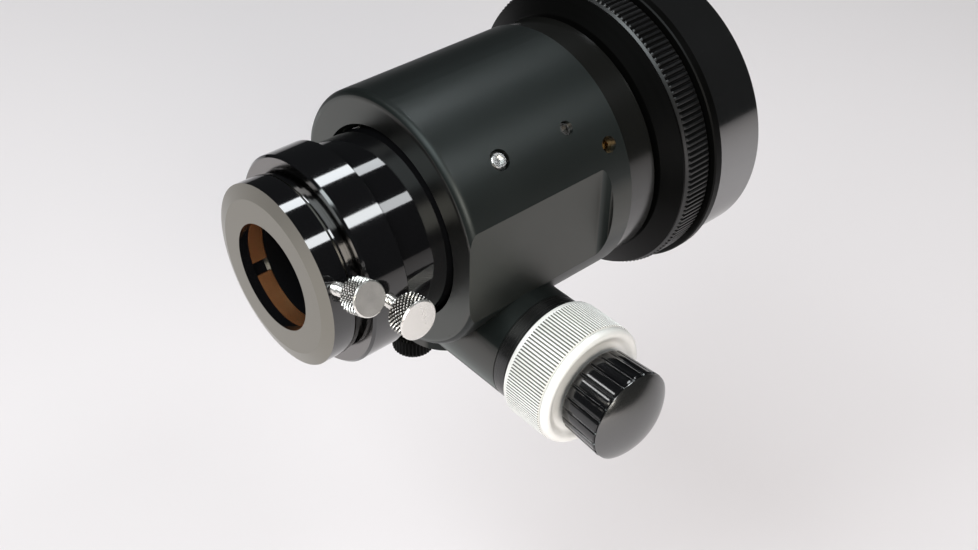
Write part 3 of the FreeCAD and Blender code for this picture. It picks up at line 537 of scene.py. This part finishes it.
def thumbscrew(name, node, around, pitch, head_length):
    """A nickel thumbscrew: diamond-knurled head with a plain bevelled face, and a threaded stem."""
    joint = JOINTS[node + "_turn"]
    axis = Vector(joint["axis"])
    origin = Vector((0, joint["pos_m"][1], 0))
    tip, face, radius = span(node, origin, axis)
    base = face - head_length
    stem = 1.9 * MM
    knurl = diamond_knurl(around, pitch, 0.5 * MM)
    cut = thread(0.7 * MM, 0.35 * MM)
    steps_per_tooth = 14

    def relief(turn, distance):
        return cut(turn, distance) if distance < base else knurl(turn, distance)

    outline = [(0, tip, 0), (stem - 0.4 * MM, tip, 0)]
    outline += stretch(stem, tip + 0.4 * MM, base - 0.3 * MM, SCREW_STEPS)
    outline += [(stem, base - 0.05 * MM, 0), (stem + 0.3 * MM, base, 0), (radius - 1.0 * MM, base, 0),
                (radius - 0.55 * MM, base + 0.3 * MM, 0), (radius - 0.1 * MM, base + 0.75 * MM, 0.6)]
    outline += stretch(radius, base + 0.85 * MM, face - 0.75 * MM, SCREW_STEPS)
    outline += [(radius - 0.05 * MM, face - 0.65 * MM, 0.5), (radius - 0.1 * MM, face - 0.5 * MM, 0),
                (radius - 0.15 * MM, face - 0.25 * MM, 0), (radius - 0.45 * MM, face, 0), (0, face, 0)]
    piece = lathe(name, outline, origin, axis, around * steps_per_tooth, relief, 0.30 * MM)
    dress(piece, NICKEL, node, node, 30, NICKEL_GROOVE_PAINTED_SHADE)


def lock_knob():
    """The black lock knob under the housing, with upright ribs and a plain underside."""
    joint = JOINTS["lock_knob_turn"]
    origin = Vector((joint["pos_m"][0], joint["pos_m"][1], 0))
    bottom, tip, radius = span("lock_knob", origin, Z_AXIS)
    top = bottom + 7.4 * MM
    stem = 2.0 * MM
    ribs = 36
    rib_steps = 12
    rib_depth = 0.55 * MM

    def rib(turn, distance):
        return rib_depth * (0.5 - 0.5 * math.cos(ribs * turn))

    outline = [(0, bottom, 0), (radius - 1.5 * MM, bottom, 0), (radius - 0.9 * MM, bottom + 0.25 * MM, 0),
               (radius - 0.1 * MM, bottom + 0.9 * MM, 0.8), (radius, bottom + 1.3 * MM, 1),
               (radius, top - 1.2 * MM, 1), (radius - 0.15 * MM, top - 0.8 * MM, 0.8),
               (radius - 0.9 * MM, top - 0.2 * MM, 0), (radius - 1.6 * MM, top, 0),
               (stem, top, 0), (stem, tip, 0), (0, tip, 0)]
    piece = lathe("lock_knob_grip", outline, origin, Z_AXIS, ribs * rib_steps, rib)
    dress(piece, SHADE, "lock_knob", "lock_knob")


coarse_knob(1)
coarse_knob(-1)
fine_knob()
fine_dome()
lock_ring()
thumbscrew("adapter_screw", "adapter_thumbscrew", 24, 1.15 * MM, 7.2 * MM)
thumbscrew("back_screw", "back_thumbscrew", 26, 1.2 * MM, 6.3 * MM)
lock_knob()


# ---------------------------------------------------------------- floor, lights and camera
FLOOR_Z = -0.25
FLOOR_HALF = 2.5


def floor():
    data = bpy.data.meshes.new("floor")
    corners = [(-FLOOR_HALF, -FLOOR_HALF, FLOOR_Z), (FLOOR_HALF, -FLOOR_HALF, FLOOR_Z),
               (FLOOR_HALF, FLOOR_HALF, FLOOR_Z), (-FLOOR_HALF, FLOOR_HALF, FLOOR_Z)]
    data.from_pydata(corners, [], [(0, 1, 2, 3)])
    piece = bpy.data.objects.new("floor", data)
    bpy.context.scene.collection.objects.link(piece)
    data.materials.append(start_material("pale_floor", (0.83, 0.775, 0.79), 0.8)[0])


POWER_PER_AREA = 4              # an area light's power for one square metre and a radiance of one


def soft_light(name, place, target, width, length, radiance, colour=(1, 1, 1)):
    """A rectangular soft light. Its length runs along the optical axis, as near as it can."""
    data = bpy.data.lights.new(name, "AREA")
    data.shape = "RECTANGLE"
    data.size = width
    data.size_y = length
    data.energy = radiance * POWER_PER_AREA * width * length
    data.color = colour
    lamp = bpy.data.objects.new(name, data)
    bpy.context.scene.collection.objects.link(lamp)
    back = (place - target).normalized()
    across = Y_AXIS.cross(back).normalized()
    lamp.matrix_world = Matrix.Translation(place) @ Matrix(
        (across, back.cross(across), back)).transposed().to_4x4()


TUBES = Vector((0, -0.125, 0.02))
FLOOR_CENTRE = Vector((0, 0, FLOOR_Z))
soft_light("left_panel", Vector((-0.240, 0.205, 0.685)), TUBES, 0.15, 0.20, 8.5, (0.93, 0.97, 1.0))
soft_light("right_panel", Vector((0.387, 0.212, 0.617)), TUBES, 0.14, 0.20, 8.5, (0.95, 0.98, 1.0))
soft_light("key", Vector((0.2, -2.2, 2.8)), FLOOR_CENTRE, 2.6, 2.6, 4.7, (0.90, 0.98, 1.0))
soft_light("right_fill", Vector((2.5, -1.4, 1.3)), FLOOR_CENTRE, 1.4, 1.4, 9.2, (1.0, 0.95, 0.86))
soft_light("knob_strip", Vector((-0.75, -0.69, 1.07)), SHAFT, 0.35, 0.16, 8.0)

world = bpy.data.worlds.new("studio")
bpy.context.scene.world = world
world.use_nodes = True
background = world.node_tree.nodes["Background"]
background.inputs["Color"].default_value = (0.93, 0.97, 1.0, 1)
background.inputs["Strength"].default_value = 0.03

CAMERA_PLACE = Vector((0.23637, -0.28327, 0.21618))
CAMERA_AZIMUTH = math.radians(47.93)
CAMERA_ELEVATION = math.radians(38.87)
CAMERA_ROLL = math.radians(1.14)
LENS_MM = 46.38
SENSOR_MM = 36.0


def camera():
    data = bpy.data.cameras.new("camera")
    data.lens = LENS_MM
    data.sensor_width = SENSOR_MM
    data.clip_start = 0.01
    piece = bpy.data.objects.new("camera", data)
    bpy.context.scene.collection.objects.link(piece)
    turn = (Matrix.Rotation(CAMERA_AZIMUTH, 4, "Z")
            @ Matrix.Rotation(math.pi / 2 - CAMERA_ELEVATION, 4, "X")
            @ Matrix.Rotation(CAMERA_ROLL, 4, "Z"))
    piece.matrix_world = Matrix.Translation(CAMERA_PLACE) @ turn
    bpy.context.scene.camera = piece


floor()
camera()
bpy.context.scene.view_settings.view_transform = "Standard"
